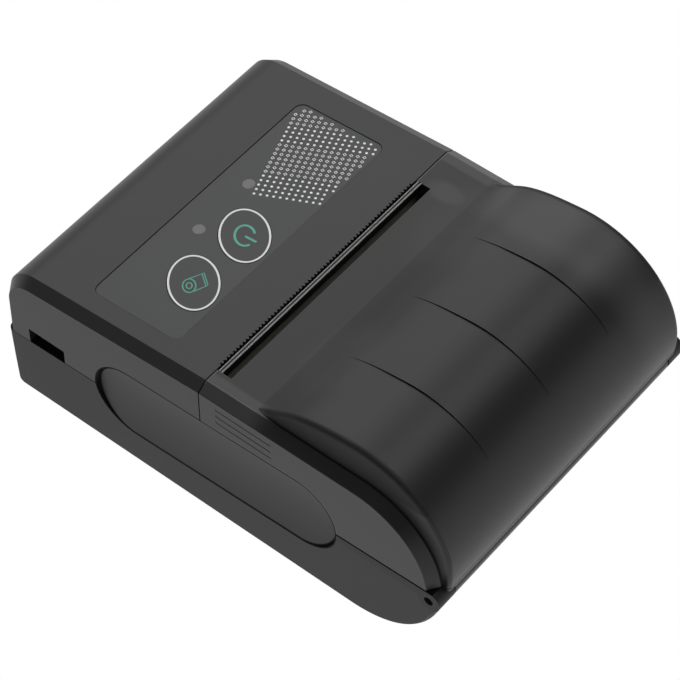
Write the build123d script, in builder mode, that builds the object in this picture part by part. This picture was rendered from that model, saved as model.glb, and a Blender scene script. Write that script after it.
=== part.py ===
from build123d import *
from math import asin, atan, atan2, cos, degrees, radians, sin, sqrt, tan
import os

os.makedirs("parts", exist_ok=True)

# Portable receipt printer, millimetres, +Z up, length along X, width along Y.
# The control end is at -X, the hinged paper cover at +X, the charging socket on the -Y side.

# Outer body.
half_length = 52.8
half_width = 38.0
seam_height = 37.7
shoulder_step = 0.2
shoulder_z = seam_height + shoulder_step
wall = 1.8
part_gap = 0.25
foot_inset = 0.7
edge_round = 1.6

# Hinge between the paper cover and the bottom shell.
hinge_inset = 2.75
hinge_x = half_length - hinge_inset
hinge_drop = 19.6
hinge_z = shoulder_z - hinge_drop
ear_radius = 2.5
ear_width = 4.7
ear_inner_y = half_width - ear_width
barrel_radius = 2.4
barrel_clearance = 0.6
hinge_pin_radius = 1.0
running_fit = 0.05

# Line where the bottom shell meets the parts above it, rising a little to the rear.
parting_end_z = 16.84
parting_slope = (hinge_z + ear_radius - parting_end_z) / (hinge_x + half_length)

# Rear of the bottom shell, one long curve.
rear_arc_inset = 20.95
rear_arc_x = half_length - rear_arc_inset
rear_arc_radius = 20.1

# Top shell over the controls.
seam_x = -3.35
top_slope = 0.07
front_round = 8.0
bevel_drop = 1.6
bevel_width = 2.3
top_angle = degrees(atan(top_slope))

# Cover over the paper well.
shoulder_arc_inset = 19.75
shoulder_arc_x = half_length - shoulder_arc_inset
shoulder_arc_radius = 18.0
drum_rise = 7.35
drum_radius = 21.25
drum_x = half_length - drum_radius
drum_z = shoulder_z + drum_rise - drum_radius
drum_inset = 2.7
drum_half_width = half_width - drum_inset
drum_edge_round = 0.9
drum_run = 23.05
drum_start_x = drum_x - drum_run
drum_lead = 6.95
drum_rise_x = drum_start_x + drum_lead
drum_front_rise = 3.85
drum_rise_z = shoulder_z + drum_front_rise
drum_meet_angle = 97.0
drum_tail_angle = 14.0
shoulder_tail_angle = 4.2
drum_start_angle = 18.0
cover_wall = 1.6
lip_width = 0.95
lip_sink = 0.15
lip_height = 2.1
lip_channel = 0.4
lip_channel_depth = 0.3
lip_edge = 0.1
groove_width = 1.75
groove_lean = 0.45
groove_depth = 0.5
rim_line_width = 0.2
rim_line_depth = 0.1
crescent_pitch = 18.2
crescent_depth = 0.36
crescent_half_width = 0.32
crescent_steps = 10
crescent_split = 0.4
crescent_start = 0.38
crescent_end_angle = 41.0
side_rib_length = 13.0
side_rib_height = 0.6
side_rib_depth = 0.06
side_rib_setback = 10.6
side_rib_x = seam_x + side_rib_setback
side_rib_drop = 3.5
side_rib_top_z = shoulder_z - side_rib_drop
side_rib_pitch = 1.85

# Paper path, set off from the middle to leave room for the gears.
near_room = 2.3
gear_room = 8.7
slot_margin = 0.1
paper_slot_gap = 0.45
hinge_pin_length = 10.0
hinge_pin_sink = 1.6
idler_lean = 0.3
guide_start = -130.0
guide_sweep = 105.0
bin_wall = 1.2
paper_center_y = (near_room - gear_room) / 2
bin_width = 2 * (half_width - wall - bin_wall) - near_room - gear_room
paper_slot_width = bin_width - 2 * slot_margin
bin_side_drop = 7.9
bin_side_top_z = shoulder_z - bin_side_drop
bin_rear_drop = 4.1
bin_rear_top_z = hinge_z - bin_rear_drop
bin_front_round = 12.0

# Oval grips set into both sides.
grip_length = 57.8
grip_height = 17.5
grip_x = -0.55
grip_gap = 0.25
grip_scoop = 0.7
grip_flange = 1.3

# Controls on the top.
panel_length = 21.5
panel_margin = 7.15
panel_width = 2 * (half_width - panel_margin)
panel_setback = 20.85
panel_x = seam_x - panel_setback
panel_y = -0.95
panel_corner = 2.0
panel_thickness = 0.4
panel_recess = 0.55
key_major = 7.1
key_minor = 5.02
key_turn = -43.0
key_gap = 0.14
key_setback = 17.35
key_x = seam_x - key_setback
feed_key_inset = 12.9
feed_key_y = panel_y - panel_width / 2 + feed_key_inset
key_pitch = 14.8
power_key_y = feed_key_y + key_pitch
key_proud = 0.08
key_flange = 0.9
key_flange_thickness = 0.8
key_stem_radius = 1.2
key_stem_end = 3.9
light_setback = 25.5
light_x = seam_x - light_setback
power_light_offset = 11.0
power_light_y = feed_key_y + power_light_offset
light_pitch = 14.7
link_light_y = power_light_y + light_pitch
light_radius = 1.25
key_board_depth = 7.4
board_thickness = 1.2
switch_size = 6.0
switch_height = 2.3
switch_plunger_radius = 1.0
switch_plunger_height = 0.5
led_length = 2.0
led_width = 1.2
led_height = 0.8

# Charging socket and its opening.
socket_inset = 10.65
socket_x = socket_inset - half_length
socket_width = 7.6
socket_height = 2.7
socket_depth = 5.6
socket_opening_width = 9.0
socket_opening_top = 21.0
socket_wall = 0.35

# Boards and battery.
main_board_z = 16.2
ledge_length = 15.0
main_board_margin = 1.5
main_board_side_margin = 3.2
main_board_rear_gap = 4.9
battery_inset = 6.3
battery_rear_gap = 3.9
battery_side_gap = 7.0
battery_height = 10.6
battery_floor_z = wall
door_overlap = 1.0
door_ledge = 1.2
door_thickness = 1.5
door_gap = 0.3
trunnion_radius = 0.4
trunnion_length = 1.6

# Platen roller carried by the cover, and the printing mechanism in the body.
platen_x = 1.15
platen_depth = 6.7
platen_z = shoulder_z - platen_depth
platen_radius = 3.9
platen_margin = 0.7
platen_length = bin_width - 2 * platen_margin
shaft_radius = 1.5
bush_radius = 2.5
bush_clearance = 0.3
frame_margin = 0.55
frame_near_y = paper_center_y - bin_width / 2 - bin_wall + frame_margin
frame_far_y = paper_center_y + bin_width / 2 + bin_wall - frame_margin
plate_thickness = 1.0
cheek_thickness = 0.8
cheek_gap = 0.3
gear_module = 0.5
gear_thickness = 2.2
gear_gap = 0.35
platen_teeth = 16
idler_teeth = 24
reduction_teeth = 30
reduction_small_teeth = 12
motor_teeth = 10
mechanism_drop = 25.2
mechanism_floor_z = platen_z - mechanism_drop
frame_front_x = -8.6
frame_rear_x = 8.6
bin_front_gap = 3.8
bin_front_x = frame_rear_x + bin_front_gap
post_radius = 2.6
screw_radius = 1.0
gear_addendum = 0.86
gear_dedendum = 1.15
gear_backlash = 0.1
pressure_angle = 20.0
flank_steps = 5
gear_post_radius = 1.0
motor_x = -0.5
motor_drop = 17.7
motor_z = platen_z - motor_drop
motor_radius = 6.0
motor_length = 16.0
motor_shaft_radius = 0.75
guide_radius = 5.0
guide_thickness = 0.8
head_gap = 0.12
head_thickness = 1.4
head_height = 13.0
head_drop = 9.7
head_low_z = platen_z - head_drop
ribbon_width = 16.0
ribbon_thickness = 0.3
foot_screw_head = 1.9
foot_screw_radius = 0.9
foot_screw_sink = 1.2
foot_screw_inset = 5.2
foot_screw_front_x = foot_screw_inset - half_length
foot_screw_front_y = half_width - foot_screw_inset
foot_screw_rear_x = 24.0
foot_screw_rear_y = 20.0
foot_boss_radius = 2.3
foot_boss_height = 8.0
slot_rise = 9.0
plate_shoulder_drop = 6.2
plate_step_drop = 2.2
plate_top_rise = 1.2
plate_shoulder_z = platen_z - plate_shoulder_drop
plate_step_z = platen_z - plate_step_drop
plate_top_z = platen_z + plate_top_rise
plate_ear_x = 5.4
beam_front_x = 6.2
beam_rear_x = 9.0
beam_drop = 1.2
beam_low_z = platen_z - beam_drop
contact_size = 1.2
sink_thickness = 2.2

key_post_inset = 3.85
key_post_spread = panel_width / 2 - key_post_inset
chip_size = 6.0
chip_pitch = 14.0
door_grip_pitch = 1.2
door_grip_count = 5
key_post_radius = 1.8
tear_tooth_depth = 0.5
tear_tooth_pitch = 0.9
tear_tooth_count = 63

# Values that follow from the ones above.
main_board_low_x = wall + main_board_margin - half_length
main_board_length = frame_front_x - main_board_rear_gap - main_board_low_x
main_board_x = main_board_low_x + main_board_length / 2
main_board_width = 2 * (half_width - wall - main_board_side_margin)
battery_low_x = battery_inset - half_length
battery_length = frame_front_x - battery_rear_gap - battery_low_x
battery_x = battery_low_x + battery_length / 2
battery_width = 2 * (half_width - wall - battery_side_gap)
door_length = battery_length + 2 * door_overlap
door_width = battery_width - 2 * door_ledge
door_hinge_x = battery_x + door_length / 2
door_hinge_z = door_thickness / 2
foot_x = -half_length + foot_inset
rear_end_angle = degrees(asin((hinge_z - rear_arc_radius) / rear_arc_radius))
paper_low_y = paper_center_y - paper_slot_width / 2
paper_high_y = paper_center_y + paper_slot_width / 2
groove_rear_x = seam_x + paper_slot_gap + lip_width + groove_width
grip_z = parting_end_z + parting_slope * (grip_x + half_length)
parting_angle = degrees(atan(parting_slope))
lift_x = (platen_z - hinge_z) / sqrt((platen_z - hinge_z) ** 2 + (platen_x - hinge_x) ** 2)
lift_z = (hinge_x - platen_x) / sqrt((platen_z - hinge_z) ** 2 + (platen_x - hinge_x) ** 2)
top_plane = Plane(
    origin=(seam_x, 0, seam_height),
    x_dir=(cos(radians(top_angle)), 0, sin(radians(top_angle))),
    z_dir=(-sin(radians(top_angle)), 0, cos(radians(top_angle))),
)
scoop_radius = (grip_height**2 / 4 + grip_scoop**2) / (2 * grip_scoop)
grip_plane = Plane(
    origin=(grip_x, 0, grip_z),
    x_dir=(cos(radians(parting_angle)), 0, sin(radians(parting_angle))),
    z_dir=(0, -1, 0),
)

# Bottom shell: a tray with a long curved rear and two rounded ears for the cover hinge.
with BuildPart() as bottom_shell:
    with BuildSketch(Plane.XZ):
        with BuildLine():
            Polyline(
                (hinge_x, hinge_z + ear_radius),
                (-half_length, parting_end_z),
                (foot_x, 0),
                (rear_arc_x, 0),
            )
            rear_curve = CenterArc(
                (rear_arc_x, rear_arc_radius), rear_arc_radius, -90, 90 + rear_end_angle
            )
            Line(rear_curve @ 1, (hinge_x, hinge_z + ear_radius))
        make_face()
    extrude(amount=half_width, both=True)
    long_edges = bottom_shell.edges().filter_by(GeomType.LINE).group_by(Axis.Z)[0]
    fillet(long_edges.filter_by(Axis.Y).sort_by(Axis.X)[0], edge_round)
    end_edges = bottom_shell.faces().sort_by(Axis.X)[0].edges()
    corner_edges = end_edges.filter_by(lambda edge: abs(edge.tangent_at(0).Z) > grip_scoop)
    fillet(corner_edges, edge_round)
    # Each long side leans in towards the foot.
    with BuildSketch(Plane.YZ):
        with BuildLine():
            Polyline(
                (half_width, hinge_z),
                (half_width + wall, hinge_z),
                (half_width + wall, -wall),
                (half_width - foot_inset, -wall),
                (half_width - foot_inset, 0),
                close=True,
            )
        make_face()
        mirror(about=Plane.YZ)
    extrude(amount=half_length + wall, both=True, mode=Mode.SUBTRACT)
    # Hollow inside.
    with BuildSketch(Plane.XZ):
        with BuildLine():
            inner_curve = CenterArc(
                (rear_arc_x, rear_arc_radius), rear_arc_radius - wall, -90, 90 + rear_end_angle
            )
            Polyline(
                inner_curve @ 1,
                (rear_arc_x + rear_arc_radius - wall, seam_height),
                (-half_length + wall, seam_height),
                (foot_x + wall, wall),
                inner_curve @ 0,
            )
        make_face()
    extrude(amount=half_width - wall - foot_inset / 2, both=True, mode=Mode.SUBTRACT)
    # Ears, the trough the hinge barrel turns in, and the holes for the hinge pins.
    with BuildSketch(Plane.XZ.offset(ear_inner_y), Plane.XZ.offset(-half_width)):
        with Locations((hinge_x, hinge_z)):
            Circle(ear_radius)
    extrude(amount=half_width - ear_inner_y)
    with BuildSketch(Plane.XZ):
        with Locations((hinge_x, hinge_z)):
            Circle(barrel_radius + barrel_clearance)
    extrude(amount=ear_inner_y, both=True, mode=Mode.SUBTRACT)
    with BuildSketch(Plane.XZ):
        with Locations((hinge_x, hinge_z)):
            Circle(hinge_pin_radius)
    extrude(amount=half_width + wall, both=True, mode=Mode.SUBTRACT)
    # Oval openings for the side grips.
    with BuildSketch(grip_plane):
        SlotOverall(grip_length + 2 * grip_gap, grip_height + 2 * grip_gap)
    extrude(amount=half_width + wall, both=True, mode=Mode.SUBTRACT)
    # Opening for the battery door and the holes its trunnions turn in.
    with BuildSketch(Plane.XY):
        with Locations((battery_x + door_thickness / 4, 0)):
            Rectangle(door_length + door_thickness / 2 + 2 * door_gap, door_width + 2 * door_gap)
    extrude(amount=wall + door_gap, mode=Mode.SUBTRACT)
    with BuildSketch(Plane.XZ):
        with Locations((door_hinge_x, door_hinge_z)):
            Circle(trunnion_radius + running_fit)
    extrude(
        amount=door_width / 2 + trunnion_length + door_gap, both=True, mode=Mode.SUBTRACT
    )
    # Posts that carry the printing mechanism, with pilot holes.
    with BuildSketch(Plane.XY.offset(wall)):
        for post_y in (frame_near_y + 2 * post_radius, frame_far_y - 2 * post_radius):
            with Locations((frame_front_x + post_radius + wall, post_y)):
                Circle(post_radius)
            with Locations((frame_rear_x - post_radius, post_y)):
                Circle(post_radius)
    extrude(amount=mechanism_floor_z - wall)
    # Bosses and sunk holes for the screws that close the housing.
    with BuildSketch(Plane.XY.offset(wall)):
        for side in (-1, 1):
            with Locations((foot_screw_front_x, side * foot_screw_front_y)):
                Circle(foot_boss_radius)
    extrude(amount=foot_boss_height)
    foot_screws = [
        (screw_x, side * screw_y)
        for screw_x, screw_y in (
            (foot_screw_front_x, foot_screw_front_y),
            (foot_screw_rear_x, foot_screw_rear_y),
        )
        for side in (-1, 1)
    ]
    with BuildSketch(Plane.XY):
        with Locations(*foot_screws):
            Circle(foot_screw_radius)
    extrude(amount=wall + foot_boss_height, mode=Mode.SUBTRACT)
    with BuildSketch(Plane.XY):
        with Locations(*foot_screws):
            Circle(foot_screw_head + running_fit)
    extrude(amount=foot_screw_sink, mode=Mode.SUBTRACT)
    # Ledges along the end wall and the sides under the main board.
    with BuildSketch(Plane.XY.offset(main_board_z - wall)):
        for side in (-1, 1):
            with Locations(
                (
                    main_board_x - (main_board_length - ledge_length) / 2,
                    side * (half_width - 2 * wall),
                )
            ):
                Rectangle(ledge_length, 2 * wall + 2 * foot_inset)
    extrude(amount=wall)
bottom_shell.part.label = "bottom_shell"
export_step(bottom_shell.part, "parts/bottom_shell.step")

# Top shell: the smooth hood over the controls, open where the cover begins.
with BuildPart() as top_shell:
    with BuildSketch(Plane.XZ):
        with BuildLine():
            Polyline(
                (-half_length, parting_end_z + part_gap / 2),
                (-half_length + part_gap, seam_height + top_slope * (-half_length - seam_x)),
                (seam_x, seam_height),
                (seam_x, parting_end_z + part_gap / 2 + parting_slope * (seam_x + half_length)),
                close=True,
            )
        make_face()
    extrude(amount=half_width, both=True)
    fillet(top_shell.edges().filter_by(Axis.Y).group_by(Axis.X)[0:2][-1].sort_by(Axis.Z)[-1], front_round)
    rim_edges = top_shell.faces().filter_by(
        lambda face: abs(face.normal_at().Y) > 1 - part_gap
    ).edges()
    rim_edges = rim_edges.filter_by(
        lambda edge: edge.center().Z > seam_height - front_round
        and abs(edge.center().X - seam_x) > part_gap
    )
    for side_face in (top_shell.faces().sort_by(Axis.Y)[0], top_shell.faces().sort_by(Axis.Y)[-1]):
        side_edges = rim_edges.filter_by(lambda edge: edge.center().Y * side_face.center().Y > 0)
        chamfer(side_edges, bevel_drop, bevel_width, reference=side_face)
    # Hollow inside, open below and towards the cover.
    with BuildSketch(Plane.XZ):
        with BuildLine():
            Polyline(
                (-half_length + wall, 0),
                (
                    -half_length + wall + part_gap,
                    seam_height - wall + top_slope * (-half_length + wall - seam_x),
                ),
                (seam_x + wall, seam_height - wall + top_slope * wall),
                (seam_x + wall, 0),
                close=True,
            )
        make_face()
        upper_corner = vertices().filter_by(lambda vertex: vertex.X < panel_x).sort_by(Axis.Y)[-1]
        fillet(upper_corner, front_round - wall)
    extrude(amount=half_width - wall - part_gap, both=True, mode=Mode.SUBTRACT)
    # Recess for the control panel, key and light holes.
    with BuildSketch(top_plane):
        with Locations(((panel_x - seam_x) / cos(radians(top_angle)), panel_y)):
            RectangleRounded(panel_length, panel_width, panel_corner)
    extrude(amount=-panel_recess, mode=Mode.SUBTRACT)
    with BuildSketch(top_plane):
        for key_y in (feed_key_y, power_key_y):
            with Locations(((key_x - seam_x) / cos(radians(top_angle)), key_y)):
                Ellipse(key_major + key_gap, key_minor + key_gap, rotation=key_turn)
        for light_y in (power_light_y, link_light_y):
            with Locations(((light_x - seam_x) / cos(radians(top_angle)), light_y)):
                Circle(light_radius)
    extrude(amount=wall + part_gap, both=True, mode=Mode.SUBTRACT)
    # Oval openings for the side grips.
    with BuildSketch(grip_plane):
        SlotOverall(grip_length + 2 * grip_gap, grip_height + 2 * grip_gap)
    extrude(amount=half_width + wall, both=True, mode=Mode.SUBTRACT)
    # Opening for the charging socket in the near side.
    with BuildSketch(Plane.XZ.offset(half_width - 2 * wall)):
        with Locations((socket_x, socket_opening_top / 2)):
            Rectangle(socket_opening_width, socket_opening_top)
    extrude(amount=3 * wall, mode=Mode.SUBTRACT)
    # Fine teeth along the edge where the paper is torn off.
    with BuildSketch(Plane.XY.offset(seam_height - wall - part_gap)):
        with Locations((seam_x, paper_center_y)):
            with GridLocations(0, tear_tooth_pitch, 1, tear_tooth_count):
                Polygon(
                    (-tear_tooth_depth, 0),
                    (part_gap, -tear_tooth_pitch / 2),
                    (part_gap, tear_tooth_pitch / 2),
                    align=None,
                )
    extrude(amount=2 * wall, mode=Mode.SUBTRACT)
    # Posts down to the key board.
    with BuildSketch(top_plane.offset(-key_board_depth)):
        for post_y in (-1, 1):
            with Locations(
                ((panel_x - seam_x) / cos(radians(top_angle)), panel_y + post_y * key_post_spread)
            ):
                Circle(key_post_radius)
    extrude(amount=key_board_depth - wall + part_gap)
top_shell.part.label = "top_shell"
export_step(top_shell.part, "parts/top_shell.step")

# Side grips: oval inserts held by the bottom shell, scooped a little on the outside.
for side, grip_name in ((-1, "side_grip_right"), (1, "side_grip_left")):
    with BuildPart() as side_grip:
        with BuildSketch(grip_plane.offset(-side * (half_width - foot_inset / 3))):
            SlotOverall(grip_length, grip_height)
        extrude(amount=side * (wall + foot_inset / 6))
        with BuildSketch(grip_plane.offset(-side * (half_width - wall - foot_inset / 2))):
            with BuildLine():
                Polyline(
                    (-grip_length / 2 - grip_flange, -grip_height / 2 - grip_flange),
                    (grip_length / 2 + grip_flange, -grip_height / 2 - grip_flange),
                    (grip_length / 2 + grip_flange, -part_gap),
                    (-grip_length / 2 - grip_flange, -part_gap),
                    close=True,
                )
            make_face()
            fillet(vertices().group_by(Axis.Y)[0], grip_height / 2)
        extrude(amount=side * (grip_flange - part_gap))
        with BuildSketch(Plane(origin=grip_plane.origin, x_dir=(0, 1, 0), z_dir=grip_plane.x_dir)):
            with Locations((side * (half_width - foot_inset / 3 - grip_scoop + scoop_radius), 0)):
                Circle(scoop_radius)
        extrude(amount=grip_length, both=True, mode=Mode.SUBTRACT)
    side_grip.part.label = grip_name
    export_step(side_grip.part, "parts/" + grip_name + ".step")

# Printed control panel, a thin plate lying in its recess.
with BuildPart() as control_overlay:
    with BuildSketch(top_plane.offset(-panel_recess)):
        with Locations(((panel_x - seam_x) / cos(radians(top_angle)), panel_y)):
            RectangleRounded(
                panel_length - part_gap, panel_width - part_gap, panel_corner - part_gap / 2
            )
        for key_y in (feed_key_y, power_key_y):
            with Locations(((key_x - seam_x) / cos(radians(top_angle)), key_y)):
                Ellipse(
                    key_major + key_gap, key_minor + key_gap, rotation=key_turn, mode=Mode.SUBTRACT
                )
        for light_y in (power_light_y, link_light_y):
            with Locations(((light_x - seam_x) / cos(radians(top_angle)), light_y)):
                Circle(light_radius, mode=Mode.SUBTRACT)
    extrude(amount=panel_thickness)
control_overlay.part.label = "control_overlay"
export_step(control_overlay.part, "parts/control_overlay.step")

# The two oval keys, each with a flange under the shell and a stem over its switch.
for key_y, key_name in ((feed_key_y, "feed_key"), (power_key_y, "power_key")):
    with BuildPart() as key:
        with BuildSketch(top_plane.offset(key_proud - panel_recess + panel_thickness)):
            with Locations(((key_x - seam_x) / cos(radians(top_angle)), key_y)):
                Ellipse(key_major, key_minor, rotation=key_turn)
        extrude(amount=-wall - key_proud - part_gap)
        chamfer(key.faces().filter_by(GeomType.PLANE).sort_by(Axis.Z)[-1].edges(), key_proud / 2)
        with BuildSketch(top_plane.offset(-wall - part_gap)):
            with Locations(((key_x - seam_x) / cos(radians(top_angle)), key_y)):
                Ellipse(key_major + key_flange, key_minor + key_flange, rotation=key_turn)
        extrude(amount=-key_flange_thickness)
        with BuildSketch(top_plane.offset(-wall - part_gap)):
            with Locations(((key_x - seam_x) / cos(radians(top_angle)), key_y)):
                Circle(key_stem_radius)
        extrude(amount=wall + part_gap - key_stem_end)
    key.part.label = key_name
    export_step(key.part, "parts/" + key_name + ".step")

# Clear windows over the two lamps.
for light_y, light_name in ((power_light_y, "power_light"), (link_light_y, "link_light")):
    with BuildPart() as light:
        with BuildSketch(top_plane.offset(panel_thickness - panel_recess)):
            with Locations(((light_x - seam_x) / cos(radians(top_angle)), light_y)):
                Circle(light_radius)
        extrude(amount=-key_board_depth + led_height + part_gap + panel_recess)
    light.part.label = light_name
    export_step(light.part, "parts/" + light_name + ".step")

# Small board under the controls.
with BuildPart() as key_board:
    with BuildSketch(top_plane.offset(-key_board_depth)):
        with Locations(((panel_x - seam_x) / cos(radians(top_angle)), panel_y)):
            RectangleRounded(panel_length, panel_width - 2 * panel_corner, panel_corner / 2)
    extrude(amount=-board_thickness)
key_board.part.label = "key_board"
export_step(key_board.part, "parts/key_board.step")

# A low push switch under each key, and a lamp under each window.
with BuildPart() as key_switches:
    with BuildSketch(top_plane.offset(-key_board_depth)):
        for key_y in (feed_key_y, power_key_y):
            with Locations(((key_x - seam_x) / cos(radians(top_angle)), key_y)):
                RectangleRounded(switch_size, switch_size, part_gap)
    extrude(amount=switch_height)
    with BuildSketch(top_plane.offset(-key_board_depth + switch_height)):
        for key_y in (feed_key_y, power_key_y):
            with Locations(((key_x - seam_x) / cos(radians(top_angle)), key_y)):
                Circle(switch_plunger_radius)
    extrude(amount=switch_plunger_height)
key_switches.part.label = "key_switches"
export_step(key_switches.part, "parts/key_switches.step")

with BuildPart() as lamps:
    with BuildSketch(top_plane.offset(-key_board_depth)):
        for light_y in (power_light_y, link_light_y):
            with Locations(((light_x - seam_x) / cos(radians(top_angle)), light_y)):
                Rectangle(led_length, led_width)
    extrude(amount=led_height)
lamps.part.label = "lamps"
export_step(lamps.part, "parts/lamps.step")

# Main board, its socket, radio module and the battery below.
with BuildPart() as main_board:
    with BuildSketch(Plane.XY.offset(main_board_z)):
        with Locations((main_board_x, 0)):
            RectangleRounded(main_board_length, main_board_width, panel_corner)
    extrude(amount=board_thickness)
main_board.part.label = "main_board"
export_step(main_board.part, "parts/main_board.step")

with BuildPart() as charging_socket:
    with BuildSketch(Plane.XZ.offset(half_width - wall)):
        with Locations((socket_x, main_board_z + board_thickness + socket_height / 2)):
            RectangleRounded(socket_width, socket_height, socket_height / 3)
            RectangleRounded(
                socket_width - 2 * socket_wall,
                socket_height - 2 * socket_wall,
                socket_height / 4,
                mode=Mode.SUBTRACT,
            )
    extrude(amount=-socket_depth)
    with BuildSketch(Plane.XZ.offset(half_width - wall - socket_depth)):
        with Locations((socket_x, main_board_z + board_thickness + socket_height / 2)):
            RectangleRounded(socket_width, socket_height, socket_height / 3)
    extrude(amount=-socket_wall)
    with BuildSketch(Plane.XZ.offset(half_width - wall - socket_depth)):
        with Locations((socket_x, main_board_z + board_thickness + socket_height / 2)):
            Rectangle(socket_width / 2, socket_height / 4)
    extrude(amount=socket_depth - 2 * socket_wall)
charging_socket.part.label = "charging_socket"
export_step(charging_socket.part, "parts/charging_socket.step")

with BuildPart() as board_chips:
    with BuildSketch(Plane.XY.offset(main_board_z + board_thickness)):
        for chip_y in (-1, 0, 1):
            with Locations((main_board_x + chip_y * chip_size / 2, chip_y * chip_pitch)):
                Rectangle(chip_size, chip_size)
    extrude(amount=board_thickness)
board_chips.part.label = "board_chips"
export_step(board_chips.part, "parts/board_chips.step")

with BuildPart() as radio_module:
    with BuildSketch(Plane.XY.offset(main_board_z + board_thickness)):
        with Locations((socket_x, main_board_width / 4)):
            Rectangle(chip_size, 2 * chip_size)
    extrude(amount=2 * board_thickness)
radio_module.part.label = "radio_module"
export_step(radio_module.part, "parts/radio_module.step")

with BuildPart() as battery_pack:
    with BuildSketch(Plane.XY.offset(battery_floor_z)):
        with Locations((battery_x, 0)):
            RectangleRounded(battery_length, battery_width, panel_corner)
    extrude(amount=battery_height)
    fillet(battery_pack.faces().sort_by(Axis.Z)[-1].edges(), panel_corner / 2)
battery_pack.part.label = "battery_pack"
export_step(battery_pack.part, "parts/battery_pack.step")

# Battery door: hinged at its inner end on two trunnions.
with BuildPart() as battery_door:
    with BuildSketch(Plane.XZ):
        with BuildLine():
            Polyline(
                (door_hinge_x, door_thickness),
                (battery_x - door_length / 2, door_thickness),
                (battery_x - door_length / 2, 0),
                (door_hinge_x, 0),
            )
            CenterArc((door_hinge_x, door_hinge_z), door_thickness / 2, -90, 180)
        make_face()
    extrude(amount=door_width / 2, both=True)
    with BuildSketch(Plane.XZ):
        with Locations((door_hinge_x, door_hinge_z)):
            Circle(trunnion_radius)
    extrude(amount=door_width / 2 + trunnion_length, both=True)
    with BuildSketch(Plane.XY):
        with Locations((battery_x - door_length / 3, 0)):
            with GridLocations(door_grip_pitch, 0, door_grip_count, 1):
                Rectangle(door_gap, door_width / 3)
    extrude(amount=door_gap, mode=Mode.SUBTRACT)
battery_door.part.label = "battery_door"
export_step(battery_door.part, "parts/battery_door.step")

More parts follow.
